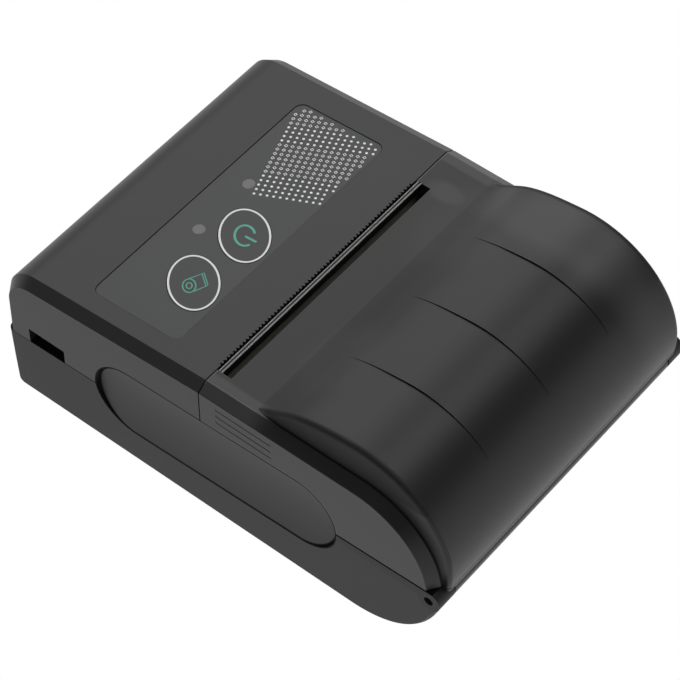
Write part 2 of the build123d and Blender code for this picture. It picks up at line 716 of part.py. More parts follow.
# Paper cover: low shoulders at the front, a long drum over the paper roll, hinge barrel behind.
with BuildPart() as paper_cover:
    with BuildSketch(Plane.XZ):
        with BuildLine():
            shoulder_curve = CenterArc(
                (shoulder_arc_x, shoulder_z - shoulder_arc_radius),
                shoulder_arc_radius,
                shoulder_tail_angle,
                90 - shoulder_tail_angle,
            )
            Polyline(
                shoulder_curve @ 1,
                (seam_x + part_gap, seam_height),
                (seam_x + part_gap, parting_end_z + part_gap + parting_slope * (seam_x + half_length)),
                shoulder_curve @ 0,
            )
        make_face()
    extrude(amount=half_width, both=True)
    cover_rim = paper_cover.faces().filter_by(lambda face: abs(face.normal_at().Y) > 1 - part_gap).edges()
    cover_rim = cover_rim.filter_by(lambda edge: edge.center().Z > drum_z + 2 * wall)
    cover_rim = cover_rim.filter_by(lambda edge: abs(edge.center().X - seam_x) > 2 * part_gap)
    for side_face in (paper_cover.faces().sort_by(Axis.Y)[0], paper_cover.faces().sort_by(Axis.Y)[-1]):
        side_edges = cover_rim.filter_by(lambda edge: edge.center().Y * side_face.center().Y > 0)
        chamfer(side_edges, bevel_drop, bevel_width, reference=side_face)
    # The drum.
    with BuildSketch(Plane.XZ):
        with BuildLine():
            rear_curve = CenterArc((drum_x, drum_z), drum_radius, -drum_tail_angle, drum_meet_angle + drum_tail_angle)
            front_curve = Spline(
                (drum_start_x, shoulder_z),
                (drum_rise_x, drum_rise_z),
                rear_curve @ 1,
                tangents=[(1, tan(radians(drum_start_angle))), -(rear_curve % 1)],
            )
            Polyline(
                (drum_start_x, shoulder_z),
                (drum_start_x, drum_z),
                rear_curve @ 0,
            )
        make_face()
    extrude(amount=drum_half_width, both=True)
    drum_rim = paper_cover.edges().filter_by(
        lambda edge: abs(abs(edge.center().Y) - drum_half_width) < part_gap
        and edge.center().Z > shoulder_z + part_gap
        and edge.length > half_width / 4
    )
    fillet(drum_rim, drum_edge_round)
    # Hollow under the shoulders and the drum.
    with BuildSketch(Plane.XZ):
        with BuildLine():
            inner_shoulder = CenterArc(
                (shoulder_arc_x, shoulder_z - shoulder_arc_radius),
                shoulder_arc_radius - cover_wall,
                -drum_tail_angle,
                90 + drum_tail_angle,
            )
            Polyline(
                inner_shoulder @ 1,
                (groove_rear_x + groove_lean + cover_wall, shoulder_z - cover_wall),
                (groove_rear_x + groove_lean + cover_wall, shoulder_z - cover_wall - groove_depth),
                (seam_x - part_gap, shoulder_z - cover_wall - groove_depth),
                (seam_x - part_gap, hinge_z - wall),
                inner_shoulder @ 0,
            )
        make_face()
    extrude(amount=half_width - wall - part_gap, both=True, mode=Mode.SUBTRACT)
    with BuildSketch(Plane.XZ):
        with BuildLine():
            inner_drum = CenterArc((drum_x, drum_z), drum_radius - cover_wall, -drum_tail_angle, drum_meet_angle + drum_tail_angle)
            Spline(
                (drum_start_x + cover_wall, shoulder_z - cover_wall),
                (drum_rise_x + cover_wall / 2, drum_rise_z - cover_wall),
                inner_drum @ 1,
                tangents=[(1, tan(radians(drum_start_angle))), -(inner_drum % 1)],
            )
            Polyline(
                (drum_start_x + cover_wall, shoulder_z - cover_wall),
                (drum_start_x + cover_wall, drum_z - wall),
                (drum_x + drum_radius / 2, hinge_z - 2 * wall),
                inner_drum @ 0,
            )
        make_face()
    extrude(amount=drum_half_width - cover_wall, both=True, mode=Mode.SUBTRACT)
    # Hinge barrel between the ears, and room for the ears beside it.
    with BuildSketch(Plane.XZ):
        with Locations((hinge_x, hinge_z)):
            Circle(barrel_radius)
    extrude(amount=ear_inner_y - part_gap, both=True)
    with BuildSketch(Plane.XZ.offset(ear_inner_y - part_gap), Plane.XZ.offset(-half_width - wall)):
        with Locations((hinge_x, hinge_z)):
            Circle(ear_radius + part_gap)
            with Locations((ear_radius, -ear_radius)):
                Rectangle(2 * ear_radius, 2 * ear_radius)
    extrude(amount=half_width + wall - ear_inner_y + part_gap, mode=Mode.SUBTRACT)
    with BuildSketch(Plane.XZ):
        with Locations((hinge_x, hinge_z)):
            Circle(hinge_pin_radius + running_fit)
    extrude(amount=half_width, both=True, mode=Mode.SUBTRACT)
    # One opening for the paper slot and the groove behind the lip bar, leaning back at its rear.
    with BuildSketch(Plane.XZ.offset(-paper_center_y)):
        Polygon(
            (seam_x, shoulder_z + wall),
            (seam_x, seam_height - wall - cover_wall),
            (groove_rear_x, seam_height - wall - cover_wall),
            (groove_rear_x, shoulder_z - cover_wall),
            (groove_rear_x + groove_lean, shoulder_z),
            (groove_rear_x + groove_lean, shoulder_z + wall),
            align=None,
        )
    extrude(amount=paper_slot_width / 2, both=True, mode=Mode.SUBTRACT)
    # A fine line on each shoulder, in line with the end of the drum.
    with BuildSketch(Plane.XY.offset(shoulder_z - rim_line_depth)):
        with Locations((drum_start_x / 2 + seam_x / 2, 0)):
            with GridLocations(0, 2 * drum_half_width, 1, 2):
                Rectangle(drum_start_x - seam_x, rim_line_width)
    extrude(amount=wall, mode=Mode.SUBTRACT)
    # Three tapered crescent grooves over the drum, deepest half way along.
    drum_middle = Vector(drum_x, drum_z)
    rear_share = (crescent_end_angle + drum_tail_angle) / (drum_meet_angle + drum_tail_angle)
    floor_points, sky_points = [], []
    for step in range(crescent_steps + 1):
        share = step / crescent_steps
        if share < crescent_split:
            spot = front_curve @ (crescent_start + (1 - crescent_start) * share / crescent_split)
        else:
            spot = rear_curve @ (1 - (1 - rear_share) * (share - crescent_split) / (1 - crescent_split))
        inward = (drum_middle - spot).normalized()
        floor_points.append(spot + inward * (crescent_depth * sin(radians(180 * share))))
        sky_points.append(spot - inward * crescent_depth)
    for step in (-1, 0, 1):
        with BuildSketch(Plane.XZ.offset(-step * crescent_pitch)):
            with BuildLine():
                Spline(*floor_points)
                Spline(*sky_points)
                Line(floor_points[0], sky_points[0])
                Line(floor_points[-1], sky_points[-1])
            make_face()
        extrude(amount=crescent_half_width, both=True, mode=Mode.SUBTRACT)
    # Three fine grip lines on each side.
    with BuildSketch(Plane.XZ.offset(half_width), Plane.XZ.offset(-half_width + side_rib_depth)):
        for line in range(3):
            with Locations((side_rib_x, side_rib_top_z - line * side_rib_pitch)):
                Rectangle(side_rib_length, side_rib_height)
    extrude(amount=-side_rib_depth, mode=Mode.SUBTRACT)
    # Room for the side grips.
    with BuildSketch(grip_plane):
        SlotOverall(grip_length + 2 * grip_gap, grip_height + 2 * grip_gap)
    extrude(amount=half_width + wall, both=True, mode=Mode.SUBTRACT)
paper_cover.part.label = "paper_cover"
export_step(paper_cover.part, "parts/paper_cover.step")

# Lip bar across the paper opening: two fine ridges with a channel between them.
with BuildPart() as paper_lip:
    with BuildSketch(Plane.XZ.offset(-paper_center_y)):
        with Locations((seam_x + paper_slot_gap + lip_width / 2, shoulder_z - lip_sink - lip_height / 2)):
            Rectangle(lip_width, lip_height)
        with Locations((seam_x + paper_slot_gap + lip_width / 2, shoulder_z - lip_sink)):
            Rectangle(lip_channel, 2 * lip_channel_depth, mode=Mode.SUBTRACT)
        chamfer(vertices().group_by(Axis.Y)[-1], lip_edge)
    extrude(amount=paper_slot_width / 2, both=True)
paper_lip.part.label = "paper_lip"
export_step(paper_lip.part, "parts/paper_lip.step")

# Curved bin that cradles the paper roll.
with BuildPart() as paper_bin:
    with BuildSketch(Plane.XZ.offset(-paper_center_y)):
        with BuildLine():
            bin_rear = CenterArc(
                (rear_arc_x, rear_arc_radius),
                rear_arc_radius - wall - part_gap,
                -90,
                90 - degrees(asin((rear_arc_radius - bin_rear_top_z) / (rear_arc_radius - wall))),
            )
            Polyline(
                bin_rear @ 1,
                (bin_rear @ 1) + Vector(0, bin_side_top_z - bin_rear_top_z),
                (bin_front_x, bin_side_top_z),
                (bin_front_x, wall + part_gap),
                bin_rear @ 0,
            )
        make_face()
    extrude(amount=bin_width / 2 + bin_wall, both=True)
    fillet(paper_bin.edges().filter_by(Axis.Y).group_by(Axis.X)[0].sort_by(Axis.Z)[0], bin_front_round)
    offset(amount=-bin_wall, openings=paper_bin.faces().sort_by(Axis.Z)[-1], kind=Kind.INTERSECTION)
    # The rear wall and the side walls are cut back clear of the hinge and the cover.
    with BuildSketch(Plane.XZ.offset(-paper_center_y)):
        with BuildLine():
            Polyline(
                (bin_front_x + bin_front_round, bin_side_top_z + wall),
                (drum_x + drum_radius / 2, bin_rear_top_z),
                (hinge_x + wall, bin_rear_top_z),
                (hinge_x + wall, bin_side_top_z + wall),
                close=True,
            )
        make_face()
    extrude(amount=bin_width, both=True, mode=Mode.SUBTRACT)
    # Feet on the shell floor, and holes for the screws from below.
    with BuildSketch(Plane.XY.offset(wall)):
        with Locations(*[spot for spot in foot_screws if spot[0] > 0]):
            Circle(foot_boss_radius)
    extrude(amount=part_gap)
    with BuildSketch(Plane.XY):
        with Locations(*[spot for spot in foot_screws if spot[0] > 0]):
            Circle(foot_screw_radius)
    extrude(amount=wall + part_gap + bin_wall + running_fit, mode=Mode.SUBTRACT)
paper_bin.part.label = "paper_bin"
export_step(paper_bin.part, "parts/paper_bin.step")

# Screws from below: two into bosses at the control end, two into the bin.
with BuildPart() as foot_screw_set:
    with BuildSketch(Plane.XY.offset(part_gap)):
        with Locations(*foot_screws):
            Circle(foot_screw_head)
            RectangleRounded(foot_screw_head, part_gap, part_gap / 3, mode=Mode.SUBTRACT)
    extrude(amount=foot_screw_sink - part_gap)
    with BuildSketch(Plane.XY.offset(foot_screw_sink)):
        with Locations(*foot_screws):
            Circle(foot_screw_radius)
    extrude(amount=wall + part_gap + bin_wall - foot_screw_sink)
foot_screw_set.part.label = "foot_screw_set"
export_step(foot_screw_set.part, "parts/foot_screw_set.step")

# Steel pins the cover turns on, one at each side.
for side, pin_name in ((-1, "hinge_pin_right"), (1, "hinge_pin_left")):
    with BuildPart() as hinge_pin:
        with BuildSketch(Plane.XZ.offset(-side * (half_width - hinge_pin_sink))):
            with Locations((hinge_x, hinge_z)):
                Circle(hinge_pin_radius)
        extrude(amount=side * hinge_pin_length)
    hinge_pin.part.label = pin_name
    export_step(hinge_pin.part, "parts/" + pin_name + ".step")

# Platen roller: a steel shaft with a rubber sleeve and a gear on its far end.
far_cheek_y = frame_far_y + plate_thickness + cheek_gap + cheek_thickness
near_cheek_y = frame_near_y - plate_thickness - cheek_gap - cheek_thickness
gear_near_y = far_cheek_y + gear_gap
gear_far_y = gear_near_y + gear_thickness
outer_gear_near_y = gear_far_y + gear_gap
outer_gear_far_y = outer_gear_near_y + gear_thickness
with BuildPart() as platen_shaft:
    with BuildSketch(Plane.XZ.offset(-outer_gear_near_y)):
        with Locations((platen_x, platen_z)):
            Circle(shaft_radius)
    extrude(amount=outer_gear_near_y - near_cheek_y + gear_gap)
    chamfer(platen_shaft.edges().filter_by(GeomType.CIRCLE), part_gap)
platen_shaft.part.label = "platen_shaft"
export_step(platen_shaft.part, "parts/platen_shaft.step")

with BuildPart() as platen_rubber:
    with BuildSketch(Plane.XZ.offset(-paper_center_y)):
        with Locations((platen_x, platen_z)):
            Circle(platen_radius)
            Circle(shaft_radius, mode=Mode.SUBTRACT)
    extrude(amount=platen_length / 2, both=True)
platen_rubber.part.label = "platen_rubber"
export_step(platen_rubber.part, "parts/platen_rubber.step")

with BuildPart() as platen_bushes:
    with BuildSketch(Plane.XZ.offset(-far_cheek_y)):
        with Locations((platen_x, platen_z)):
            Circle(bush_radius)
            Circle(shaft_radius + running_fit, mode=Mode.SUBTRACT)
    extrude(amount=far_cheek_y - frame_far_y + cheek_gap)
    with BuildSketch(Plane.XZ.offset(-near_cheek_y)):
        with Locations((platen_x, platen_z)):
            Circle(bush_radius)
            Circle(shaft_radius + running_fit, mode=Mode.SUBTRACT)
    extrude(amount=near_cheek_y - frame_near_y - cheek_gap)
platen_bushes.part.label = "platen_bushes"
export_step(platen_bushes.part, "parts/platen_bushes.step")

# Carrier under the front of the cover: a beam with a cheek at each end for the bushes.
with BuildPart() as roller_carrier:
    with BuildSketch(Plane.XZ.offset(-far_cheek_y)):
        Polygon(
            (beam_front_x, shoulder_z - cover_wall),
            (beam_front_x, beam_low_z),
            (beam_rear_x, beam_low_z),
            (beam_rear_x, shoulder_z - cover_wall),
            align=None,
        )
    extrude(amount=far_cheek_y - near_cheek_y)
    with BuildSketch(Plane.XZ.offset(-far_cheek_y), Plane.XZ.offset(-near_cheek_y - cheek_thickness)):
        with BuildLine():
            Polyline(
                (platen_x, platen_z + bush_radius + plate_thickness),
                (beam_rear_x, platen_z + bush_radius + plate_thickness),
                (beam_rear_x, beam_low_z),
                (platen_x, platen_z - bush_radius - plate_thickness),
                close=True,
            )
        make_face()
        with Locations((platen_x, platen_z)):
            Circle(bush_radius + plate_thickness)
    extrude(amount=cheek_thickness)
    with BuildSketch(Plane.XZ.offset(-far_cheek_y)):
        with Locations((platen_x, platen_z)):
            Circle(bush_radius)
    extrude(amount=far_cheek_y - near_cheek_y, mode=Mode.SUBTRACT)
roller_carrier.part.label = "roller_carrier"
export_step(roller_carrier.part, "parts/roller_carrier.step")

# Mechanism frame: two side plates, a floor and the curved guide under the roller.
with BuildPart() as mechanism_frame:
    with BuildSketch(Plane.XZ.offset(-frame_far_y - plate_thickness), Plane.XZ.offset(-frame_near_y)):
        Polygon(
            (frame_front_x, mechanism_floor_z),
            (frame_rear_x, mechanism_floor_z),
            (frame_rear_x, plate_shoulder_z),
            (plate_ear_x, plate_step_z),
            (plate_ear_x, plate_top_z),
            (frame_front_x / 2, plate_top_z + wall),
            (frame_front_x, plate_step_z),
            align=None,
        )
        with Locations((platen_x, platen_z)):
            Circle(bush_radius + bush_clearance, mode=Mode.SUBTRACT)
        with Locations((platen_x + lift_x * slot_rise / 2, platen_z + lift_z * slot_rise / 2)):
            Rectangle(
                slot_rise,
                2 * (bush_radius + bush_clearance),
                rotation=degrees(atan2(lift_z, lift_x)),
                mode=Mode.SUBTRACT,
            )
        with Locations((motor_x, motor_z)):
            Circle(motor_shaft_radius + bush_clearance, mode=Mode.SUBTRACT)
    extrude(amount=plate_thickness)
    with BuildSketch(Plane.XY.offset(mechanism_floor_z)):
        with Locations(((frame_front_x + frame_rear_x) / 2, (frame_near_y + frame_far_y) / 2)):
            Rectangle(frame_rear_x - frame_front_x, frame_far_y - frame_near_y + plate_thickness)
    extrude(amount=plate_thickness)
    with BuildSketch(Plane.XZ.offset(-frame_far_y)):
        with BuildLine():
            CenterArc((platen_x, platen_z), guide_radius, guide_start, guide_sweep)
            CenterArc((platen_x, platen_z), guide_radius + guide_thickness, guide_start, guide_sweep)
            guide_ends = [
                Vector(platen_x, platen_z)
                + Vector(cos(radians(angle)), sin(radians(angle))) * radius
                for angle in (guide_start, guide_start + guide_sweep)
                for radius in (guide_radius, guide_radius + guide_thickness)
            ]
            Line(guide_ends[0], guide_ends[1])
            Line(guide_ends[2], guide_ends[3])
        make_face()
    extrude(amount=frame_far_y - frame_near_y)
mechanism_frame.part.label = "mechanism_frame"
export_step(mechanism_frame.part, "parts/mechanism_frame.step")

# Print head: a flat ceramic plate on a metal heat sink, standing against the roller.
head_face_x = platen_x - platen_radius - head_gap
with BuildPart() as thermal_head:
    with BuildSketch(Plane.XZ.offset(-frame_far_y + plate_thickness)):
        Polygon(
            (head_face_x, head_low_z),
            (head_face_x, head_low_z + head_height),
            (head_face_x - head_thickness, head_low_z + head_height),
            (head_face_x - head_thickness, head_low_z),
            align=None,
        )
    extrude(amount=frame_far_y - frame_near_y - 2 * plate_thickness)
thermal_head.part.label = "thermal_head"
export_step(thermal_head.part, "parts/thermal_head.step")

with BuildPart() as head_heat_sink:
    with BuildSketch(Plane.XZ.offset(-frame_far_y)):
        Polygon(
            (head_face_x - head_thickness, head_low_z - wall),
            (head_face_x - head_thickness, head_low_z + head_height - wall),
            (head_face_x - head_thickness - sink_thickness, head_low_z + head_height - wall),
            (head_face_x - head_thickness - sink_thickness, head_low_z - wall),
            align=None,
        )
    extrude(amount=frame_far_y - frame_near_y)
head_heat_sink.part.label = "head_heat_sink"
export_step(head_heat_sink.part, "parts/head_heat_sink.step")

# Flat cable from the print head down to the main board.
with BuildPart() as head_cable:
    with BuildSketch(Plane.XZ):
        with BuildLine():
            cable_path = Polyline(
                (head_face_x - head_thickness - sink_thickness - ribbon_thickness / 2, head_low_z + wall),
                (head_face_x - head_thickness - sink_thickness - ribbon_thickness / 2, head_low_z - 2 * wall),
                (
                    main_board_x + main_board_length / 2 + wall,
                    main_board_z + board_thickness + ribbon_thickness / 2,
                ),
                (
                    main_board_x + main_board_length / 2 - 2 * wall,
                    main_board_z + board_thickness + ribbon_thickness / 2,
                ),
            )
        trace(cable_path, ribbon_thickness)
    extrude(amount=ribbon_width / 2, both=True)
head_cable.part.label = "head_cable"
export_step(head_cable.part, "parts/head_cable.step")

# Motor on the inside of the far plate, and its turning shaft and pinion.
with BuildPart() as feed_motor:
    with BuildSketch(Plane.XZ.offset(-frame_far_y)):
        with Locations((motor_x, motor_z)):
            Circle(motor_radius)
    extrude(amount=motor_length)
    with BuildSketch(Plane.XZ.offset(-frame_far_y)):
        with Locations((motor_x, motor_z)):
            Circle(motor_shaft_radius + running_fit)
    extrude(amount=motor_length / 2, mode=Mode.SUBTRACT)
feed_motor.part.label = "feed_motor"
export_step(feed_motor.part, "parts/feed_motor.step")

# Where each gear turns, and how far round its first tooth stands.
idler_distance = gear_module * (platen_teeth + idler_teeth) / 2
idler_x = platen_x - idler_lean * idler_distance
idler_z = platen_z - sqrt(1 - idler_lean**2) * idler_distance
motor_reach = gear_module * (reduction_teeth + motor_teeth) / 2
idler_reach = gear_module * (idler_teeth + reduction_small_teeth) / 2
span_x = motor_x - idler_x
span_z = motor_z - idler_z
span = sqrt(span_x**2 + span_z**2)
along = (idler_reach**2 - motor_reach**2 + span**2) / (2 * span)
across = sqrt(idler_reach**2 - along**2)
reduction_x = idler_x + (along * span_x - across * span_z) / span
reduction_z = idler_z + (along * span_z + across * span_x) / span
idler_line = degrees(atan2(idler_z - platen_z, idler_x - platen_x))
platen_share = (idler_line * platen_teeth / 360) % 1
idler_phase = idler_line + 180 - (0.5 - platen_share) * 360 / idler_teeth
small_line = degrees(atan2(reduction_z - idler_z, reduction_x - idler_x))
idler_share = ((small_line - idler_phase) * idler_teeth / 360) % 1
small_phase = small_line + 180 - (0.5 - idler_share) * 360 / reduction_small_teeth
motor_line = degrees(atan2(motor_z - reduction_z, motor_x - reduction_x))
large_share = ((motor_line - small_phase) * reduction_teeth / 360) % 1
motor_phase = motor_line + 180 - (0.5 - large_share) * 360 / motor_teeth
gear_wheels = {
    "platen": (platen_x, platen_z, platen_teeth, 0),
    "idler": (idler_x, idler_z, idler_teeth, idler_phase),
    "small": (reduction_x, reduction_z, reduction_small_teeth, small_phase),
    "large": (reduction_x, reduction_z, reduction_teeth, small_phase),
    "motor": (motor_x, motor_z, motor_teeth, motor_phase),
}
outlines = {}
for wheel, (wheel_x, wheel_z, teeth, phase) in gear_wheels.items():
    pitch_radius = gear_module * teeth / 2
    base_radius = pitch_radius * cos(radians(pressure_angle))
    tip_radius = pitch_radius + gear_addendum * gear_module
    root_radius = pitch_radius - gear_dedendum * gear_module
    start_radius = max(base_radius, root_radius + gear_backlash)
    half_tooth = 90 / teeth * (1 - gear_backlash) + degrees(
        tan(radians(pressure_angle)) - radians(pressure_angle)
    )
    flank = [(root_radius, half_tooth)]
    for step in range(flank_steps + 1):
        radius = start_radius + (tip_radius - start_radius) * step / flank_steps
        swing = sqrt(radius**2 - base_radius**2) / base_radius
        flank.append((radius, half_tooth - degrees(swing - atan(swing))))
    outline = []
    for tooth in range(teeth):
        turn = phase + tooth * 360 / teeth
        for radius, half_angle in [(r, -a) for r, a in flank] + [(r, a) for r, a in reversed(flank)]:
            outline.append(
                (
                    wheel_x + radius * cos(radians(turn + half_angle)),
                    wheel_z + radius * sin(radians(turn + half_angle)),
                )
            )
    outlines[wheel] = outline

with BuildPart() as platen_gear:
    with BuildSketch(Plane.XZ.offset(-gear_far_y)):
        Polygon(*outlines["platen"], align=None)
        with Locations((platen_x, platen_z)):
            Circle(shaft_radius, mode=Mode.SUBTRACT)
    extrude(amount=gear_thickness)
platen_gear.part.label = "platen_gear"
export_step(platen_gear.part, "parts/platen_gear.step")

with BuildPart() as idler_gear:
    with BuildSketch(Plane.XZ.offset(-gear_far_y)):
        Polygon(*outlines["idler"], align=None)
        with Locations((idler_x, idler_z)):
            Circle(gear_post_radius + running_fit, mode=Mode.SUBTRACT)
    extrude(amount=gear_thickness)
idler_gear.part.label = "idler_gear"
export_step(idler_gear.part, "parts/idler_gear.step")

with BuildPart() as reduction_gear:
    with BuildSketch(Plane.XZ.offset(-outer_gear_near_y)):
        Polygon(*outlines["small"], align=None)
        with Locations((reduction_x, reduction_z)):
            Circle(gear_post_radius + running_fit, mode=Mode.SUBTRACT)
    extrude(amount=gear_thickness + gear_gap)
    with BuildSketch(Plane.XZ.offset(-outer_gear_far_y)):
        Polygon(*outlines["large"], align=None)
        with Locations((reduction_x, reduction_z)):
            Circle(gear_post_radius + running_fit, mode=Mode.SUBTRACT)
    extrude(amount=gear_thickness)
reduction_gear.part.label = "reduction_gear"
export_step(reduction_gear.part, "parts/reduction_gear.step")

with BuildPart() as motor_pinion:
    with BuildSketch(Plane.XZ.offset(-outer_gear_far_y)):
        Polygon(*outlines["motor"], align=None)
        with Locations((motor_x, motor_z)):
            Circle(motor_shaft_radius, mode=Mode.SUBTRACT)
    extrude(amount=gear_thickness)
motor_pinion.part.label = "motor_pinion"
export_step(motor_pinion.part, "parts/motor_pinion.step")

with BuildPart() as motor_shaft:
    with BuildSketch(Plane.XZ.offset(-outer_gear_far_y - part_gap)):
        with Locations((motor_x, motor_z)):
            Circle(motor_shaft_radius)
    extrude(amount=outer_gear_far_y + part_gap - frame_far_y + motor_length / 2 - part_gap)
motor_shaft.part.label = "motor_shaft"
export_step(motor_shaft.part, "parts/motor_shaft.step")

# Posts the idler and the double gear turn on.
with BuildPart() as gear_posts:
    with BuildSketch(Plane.XZ.offset(-gear_far_y - part_gap / 2)):
        with Locations((idler_x, idler_z)):
            Circle(gear_post_radius)
    extrude(amount=gear_far_y + part_gap / 2 - frame_far_y - plate_thickness)
    with BuildSketch(Plane.XZ.offset(-outer_gear_far_y - part_gap)):
        with Locations((reduction_x, reduction_z)):
            Circle(gear_post_radius)
    extrude(amount=outer_gear_far_y + part_gap - frame_far_y - plate_thickness)
gear_posts.part.label = "gear_posts"
export_step(gear_posts.part, "parts/gear_posts.step")

# Spring blades from the main board to the battery.
with BuildPart() as battery_contacts:
    with BuildSketch(Plane.XY.offset(battery_floor_z + battery_height)):
        with Locations((battery_x + battery_length / 3, 0)):
            with GridLocations(0, 3 * contact_size, 1, 3):
                Rectangle(contact_size, contact_size)
    extrude(amount=main_board_z - battery_floor_z - battery_height)
battery_contacts.part.label = "battery_contacts"
export_step(battery_contacts.part, "parts/battery_contacts.step")

# Screws that hold the mechanism frame to its posts.
with BuildPart() as frame_screws:
    with BuildSketch(Plane.XY.offset(mechanism_floor_z + plate_thickness)):
        for post_y in (frame_near_y + 2 * post_radius, frame_far_y - 2 * post_radius):
            for post_x in (frame_front_x + post_radius + wall, frame_rear_x - post_radius):
                with Locations((post_x, post_y)):
                    Circle(screw_radius)
    extrude(amount=part_gap + running_fit)
frame_screws.part.label = "frame_screws"
export_step(frame_screws.part, "parts/frame_screws.step")
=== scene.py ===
import bpy, math
from mathutils import Matrix, Vector


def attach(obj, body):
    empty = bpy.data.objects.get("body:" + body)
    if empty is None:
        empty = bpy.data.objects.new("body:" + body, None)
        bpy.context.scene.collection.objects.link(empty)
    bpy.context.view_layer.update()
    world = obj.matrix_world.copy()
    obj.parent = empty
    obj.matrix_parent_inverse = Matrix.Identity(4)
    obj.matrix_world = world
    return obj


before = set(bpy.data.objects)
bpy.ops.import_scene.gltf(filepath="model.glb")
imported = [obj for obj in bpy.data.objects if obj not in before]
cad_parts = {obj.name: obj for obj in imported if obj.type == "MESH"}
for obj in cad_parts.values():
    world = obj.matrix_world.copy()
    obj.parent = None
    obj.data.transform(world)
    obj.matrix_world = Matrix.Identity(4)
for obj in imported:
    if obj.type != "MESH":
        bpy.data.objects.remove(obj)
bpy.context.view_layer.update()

# Black shells.
# The hood, the tray and the battery door are moulded in black ABS with a fine
# spark texture. Painted shade in black marks the gaps where hood, cover and tray
# meet, and the gaps round the openings that the side grips are pressed into.
half_length = 0.0528
hinge_x, hinge_z, ear_radius = 0.05005, 0.0183, 0.0025
parting_end_z = 0.01684
parting_tilt = math.atan((hinge_z + ear_radius - parting_end_z) / (hinge_x + half_length))
grip_x, grip_z = -0.00055, 0.01885
grip_half_length, grip_radius = 0.0289, 0.00875
# Painted shade: bands of black painted into the gaps along the parting line and round the grip openings.
opening_shade_band = (0.00896, 0.00900, 0.00922, 0.00930)
parting_shade_band = (0.00018, 0.00012)
side_start, side_full = 0.0366, 0.0372
gap_shade_black = (0.001, 0.001, 0.001)
satin = 0.34
dull = 0.22


class Sock:
    """An output of a shader node that takes part in arithmetic; a | b is the greater one."""

    def __init__(self, tree, link):
        self.tree, self.link = tree, link

    def node(self, kind, settings=None, out=0, **values):
        """A new node, its inputs given by name, or by i and a number."""
        made = self.tree.nodes.new(kind)
        for name, value in (settings or {}).items():
            setattr(made, name, value)
        for name, value in values.items():
            key = int(name[1:]) if name[1:].isdigit() else name
            if isinstance(value, Sock):
                self.tree.links.new(value.link, made.inputs[key])
            else:
                made.inputs[key].default_value = value
        return Sock(self.tree, made.outputs[out])

    def maths(self, operation, *others):
        values = {f"i{place + 1}": other for place, other in enumerate(others)}
        return self.node("ShaderNodeMath", {"operation": operation}, i0=self, **values)

    def axis(self, index):
        return self.node("ShaderNodeSeparateXYZ", out=index, i0=self)

    def __add__(self, other):
        return self.maths("ADD", other)

    def __sub__(self, other):
        return self.maths("SUBTRACT", other)

    def __mul__(self, other):
        return self.maths("MULTIPLY", other)

    def __or__(self, other):
        return self.maths("MAXIMUM", other)

    def __abs__(self):
        return self.maths("ABSOLUTE")


def finish(name, colour, roughness, sheen=0.5, metal=0.0):
    """A new material, its shader, and the place on the piece as a socket."""
    material = bpy.data.materials.new(name)
    material.use_nodes = True
    tree = material.node_tree
    shader = tree.nodes["Principled BSDF"]
    shader.inputs["Base Color"].default_value = (*colour, 1)
    shader.inputs["Roughness"].default_value = roughness
    shader.inputs["Specular IOR Level"].default_value = sheen
    shader.inputs["Metallic"].default_value = metal
    place = Sock(tree, tree.nodes.new("ShaderNodeTexCoord").outputs["Object"])
    return material, shader, place


def feed(shader, socket, value):
    value.tree.links.new(value.link, shader.inputs[socket])


def dress(material, *names):
    """Give CAD pieces their material."""
    for name in names:
        node = bpy.data.objects[name]
        node.data.materials.clear()
        node.data.materials.append(material)


def grain(place, shader, size, depth):
    """Fine moulded grain: a bump that feeds the normal."""
    height = place.node("ShaderNodeTexNoise", Vector=place, Scale=1 / size, Detail=3.0, Roughness=0.6)
    bump = place.node("ShaderNodeBump", Strength=depth, Distance=0.00002, Height=height)
    feed(shader, "Normal", bump)
    return height


def blend(amount, under, over):
    """One colour over another, as much as the amount says."""
    under = under if isinstance(under, Sock) else (*under, 1)
    return amount.node("ShaderNodeMix", {"data_type": "RGBA"}, out=2, i0=amount, i6=under, i7=(*over, 1))


def cloudy(place, low, high, size):
    """Two shades of one colour drifting over the piece."""
    return blend(place.node("ShaderNodeTexNoise", Vector=place, Scale=1 / size, Detail=2.0), low, high)


def fade(value, start, end):
    """Rises softly from 0 to 1 while the value goes from start to end."""
    soft = {"interpolation_type": "SMOOTHSTEP"}
    return value.node("ShaderNodeMapRange", soft, i0=value, i1=start, i2=end, i3=0.0, i4=1.0)


def stripe(value, start, full, last, end):
    """1 between full and last, and 0 before start and after end."""
    return fade(value, start, full) * fade(value, end, last)


def oval(place):
    """How far a place stands from the middle line of the grip, and above the parting line."""
    along = place.axis(0) - grip_x
    rise = place.axis(2) - grip_z
    run = along * math.cos(parting_tilt) + rise * math.sin(parting_tilt)
    above = rise * math.cos(parting_tilt) - along * math.sin(parting_tilt)
    past = abs(run) - (grip_half_length - grip_radius) | 0.0
    return (past * past + above * above).maths("SQRT"), above


def paint_gap_shade(place, shader, tone):
    """Colour a piece by its tone, with painted shade in black in the gaps along the parting line and round
    the grips.
    """
    reach, above = oval(place)
    outside = fade(abs(place.axis(1)), side_start, side_full)
    gap_shade = stripe(reach, *opening_shade_band) * outside | fade(abs(above), *parting_shade_band)
    feed(shader, "Base Color", blend(gap_shade, tone, gap_shade_black))
    return gap_shade


shell, shader, place = finish("shell_black", (0.03, 0.03, 0.032), roughness=0.42, sheen=satin)
gap_shade = paint_gap_shade(place, shader, cloudy(place, low=(0.021, 0.021, 0.022), high=(0.026, 0.026, 0.027), size=0.02))
fine = grain(place, shader, size=0.00022, depth=0.25)
feed(shader, "Roughness", fine * 0.12 + 0.36 + gap_shade * 0.5)
dress(shell, "top_shell")

